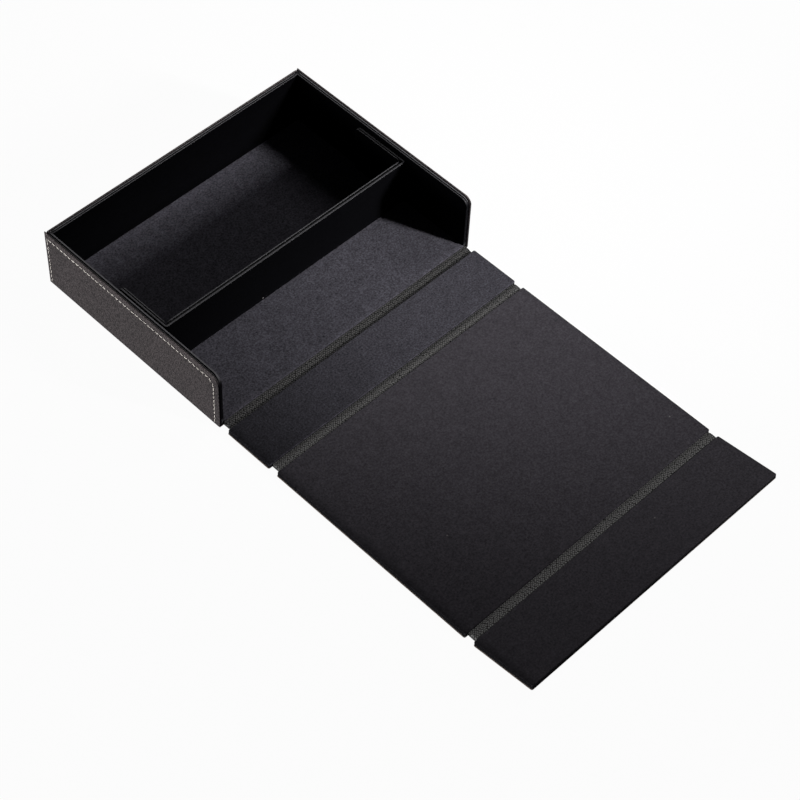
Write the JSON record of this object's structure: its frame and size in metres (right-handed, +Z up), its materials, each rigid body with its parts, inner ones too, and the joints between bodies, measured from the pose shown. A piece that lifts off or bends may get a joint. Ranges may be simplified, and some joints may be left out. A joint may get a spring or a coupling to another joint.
{
  "type": "dice storage chest",
  "caption": "Low three-walled box of stitched leatherette over board, with a folding front flap, lid and closing flap and a sliding divider.",
  "frame": {"origin": "centre of the box's underside, on the surface that it stands on", "axes": "+X to the box's right, +Y from the folding panels towards the rear wall, +Z up"},
  "size_m": [0.22, 0.4285, 0.0466],
  "materials": {
    "stitched_leatherette": "fine pebble grain, pale stitching",
    "case_leatherette": "fine pebble grain",
    "hinge_leatherette": "coarse pebble grain",
    "charcoal_suede": "short microfibre nap",
    "black_suede": "short microfibre nap",
    "greyboard": "plain grey bookbinding board",
    "wall_card": "plain card",
    "magnet_nickel": "nickel plated"
  },
  "bodies": {
    "box": {"base_cover": "case_leatherette", "base_board": "greyboard", "floor_lining": "charcoal_suede", "left_wall_cover": "stitched_leatherette", "left_wall_card": "wall_card", "left_frame_board": "greyboard", "left_frame_lining": "black_suede", "right_wall_cover": "stitched_leatherette", "right_wall_card": "wall_card", "right_frame_board": "greyboard", "right_frame_lining": "black_suede", "rear_wall_cover": "stitched_leatherette", "rear_wall_card": "wall_card", "rear_frame_board": "greyboard", "rear_frame_lining": "black_suede", "rear_wall_magnets": "magnet_nickel", "front_hinge_strip": "hinge_leatherette"},
    "front_flap": {"front_flap_cover": "case_leatherette", "front_flap_board": "greyboard", "front_flap_lining": "charcoal_suede", "lid_hinge_strip": "hinge_leatherette"},
    "lid": {"lid_cover": "case_leatherette", "lid_board": "greyboard", "lid_lining": "charcoal_suede", "closing_hinge_strip": "hinge_leatherette"},
    "closing_flap": {"closing_flap_cover": "case_leatherette", "closing_flap_board": "greyboard", "closing_flap_lining": "charcoal_suede", "closing_flap_magnets": "magnet_nickel"},
    "divider": {"divider_wrap": "black_suede", "divider_front_board": "greyboard", "divider_left_board": "greyboard", "divider_right_board": "greyboard", "divider_front_lining": "black_suede", "divider_left_lining": "black_suede", "divider_right_lining": "black_suede"}
  },
  "joints": [
    {"name": "front_flap_hinge", "type": "hinge", "parent": "box", "child": "front_flap", "pos_m": [0, -0.08399, 0.00196], "axis": [-1, 0, 0], "range_deg": [0, 90], "deforming": ["front_hinge_strip"]},
    {"name": "lid_hinge", "type": "hinge", "parent": "front_flap", "child": "lid", "pos_m": [0, -0.13035, 0.00203], "axis": [-1, 0, 0], "range_deg": [0, 90], "deforming": ["lid_hinge_strip"]},
    {"name": "closing_flap_hinge", "type": "hinge", "parent": "lid", "child": "closing_flap", "pos_m": [0, -0.29864, 0.00157], "axis": [-1, 0, 0], "range_deg": [-7, 83], "deforming": ["closing_hinge_strip"]},
    {"name": "divider_slide", "type": "slide", "parent": "box", "child": "divider", "axis": [0, 1, 0], "range_m": [-0.0555, 0.059]}
  ]
}
